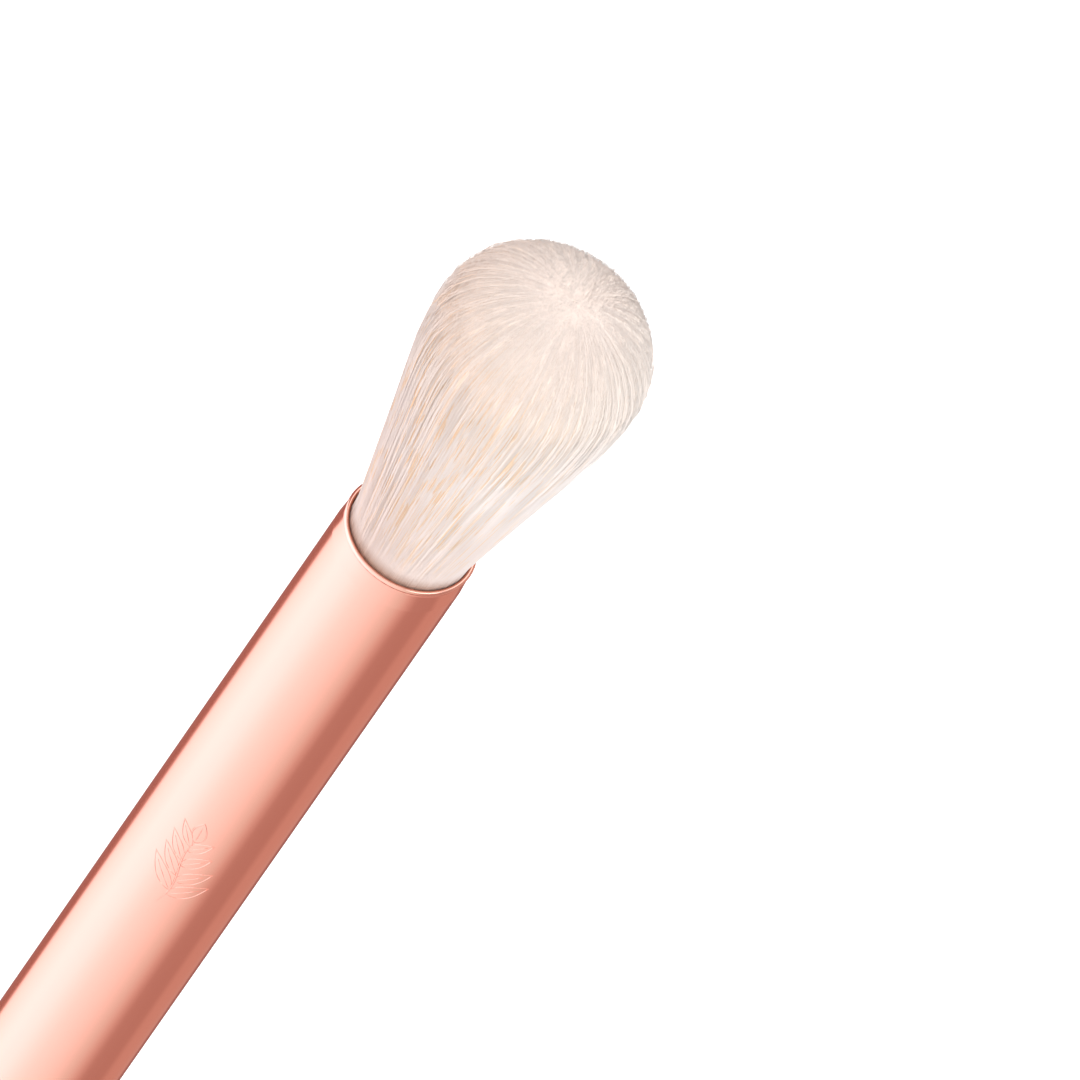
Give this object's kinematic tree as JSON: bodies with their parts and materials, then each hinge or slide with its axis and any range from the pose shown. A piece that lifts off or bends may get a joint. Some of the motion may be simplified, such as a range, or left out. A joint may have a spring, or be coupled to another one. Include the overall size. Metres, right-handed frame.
{
  "type": "eyeshadow brush",
  "caption": "Slim rose-gold metal tube handle with a flat tail and a rolled lip, holding a soft cream tuft that flares to a rounded dome",
  "frame": {"origin": "middle of the tail cap's flat end face", "axes": "+Z along the brush's axis, from the tail to the hair; +X and +Y are across it and alike"},
  "size_m": [0.0124, 0.0123, 0.1587],
  "materials": {
    "tube": "satin rose-gold anodised",
    "sleeve": "bright rose-gold anodised",
    "hair": "soft cream hair",
    "resin": "clear amber casting resin",
    "thread": "twisted cotton",
    "core": "plain turned birch",
    "cap": "satin rose-gold anodised"
  },
  "bodies": {
    "root": {"handle_tube": "tube", "ferrule_sleeve": "sleeve", "bristle_tuft": "hair", "resin_plug": "resin", "root_thread": "thread", "core_dowel": "core", "tail_cap": "cap"}
  },
  "joints": []
}
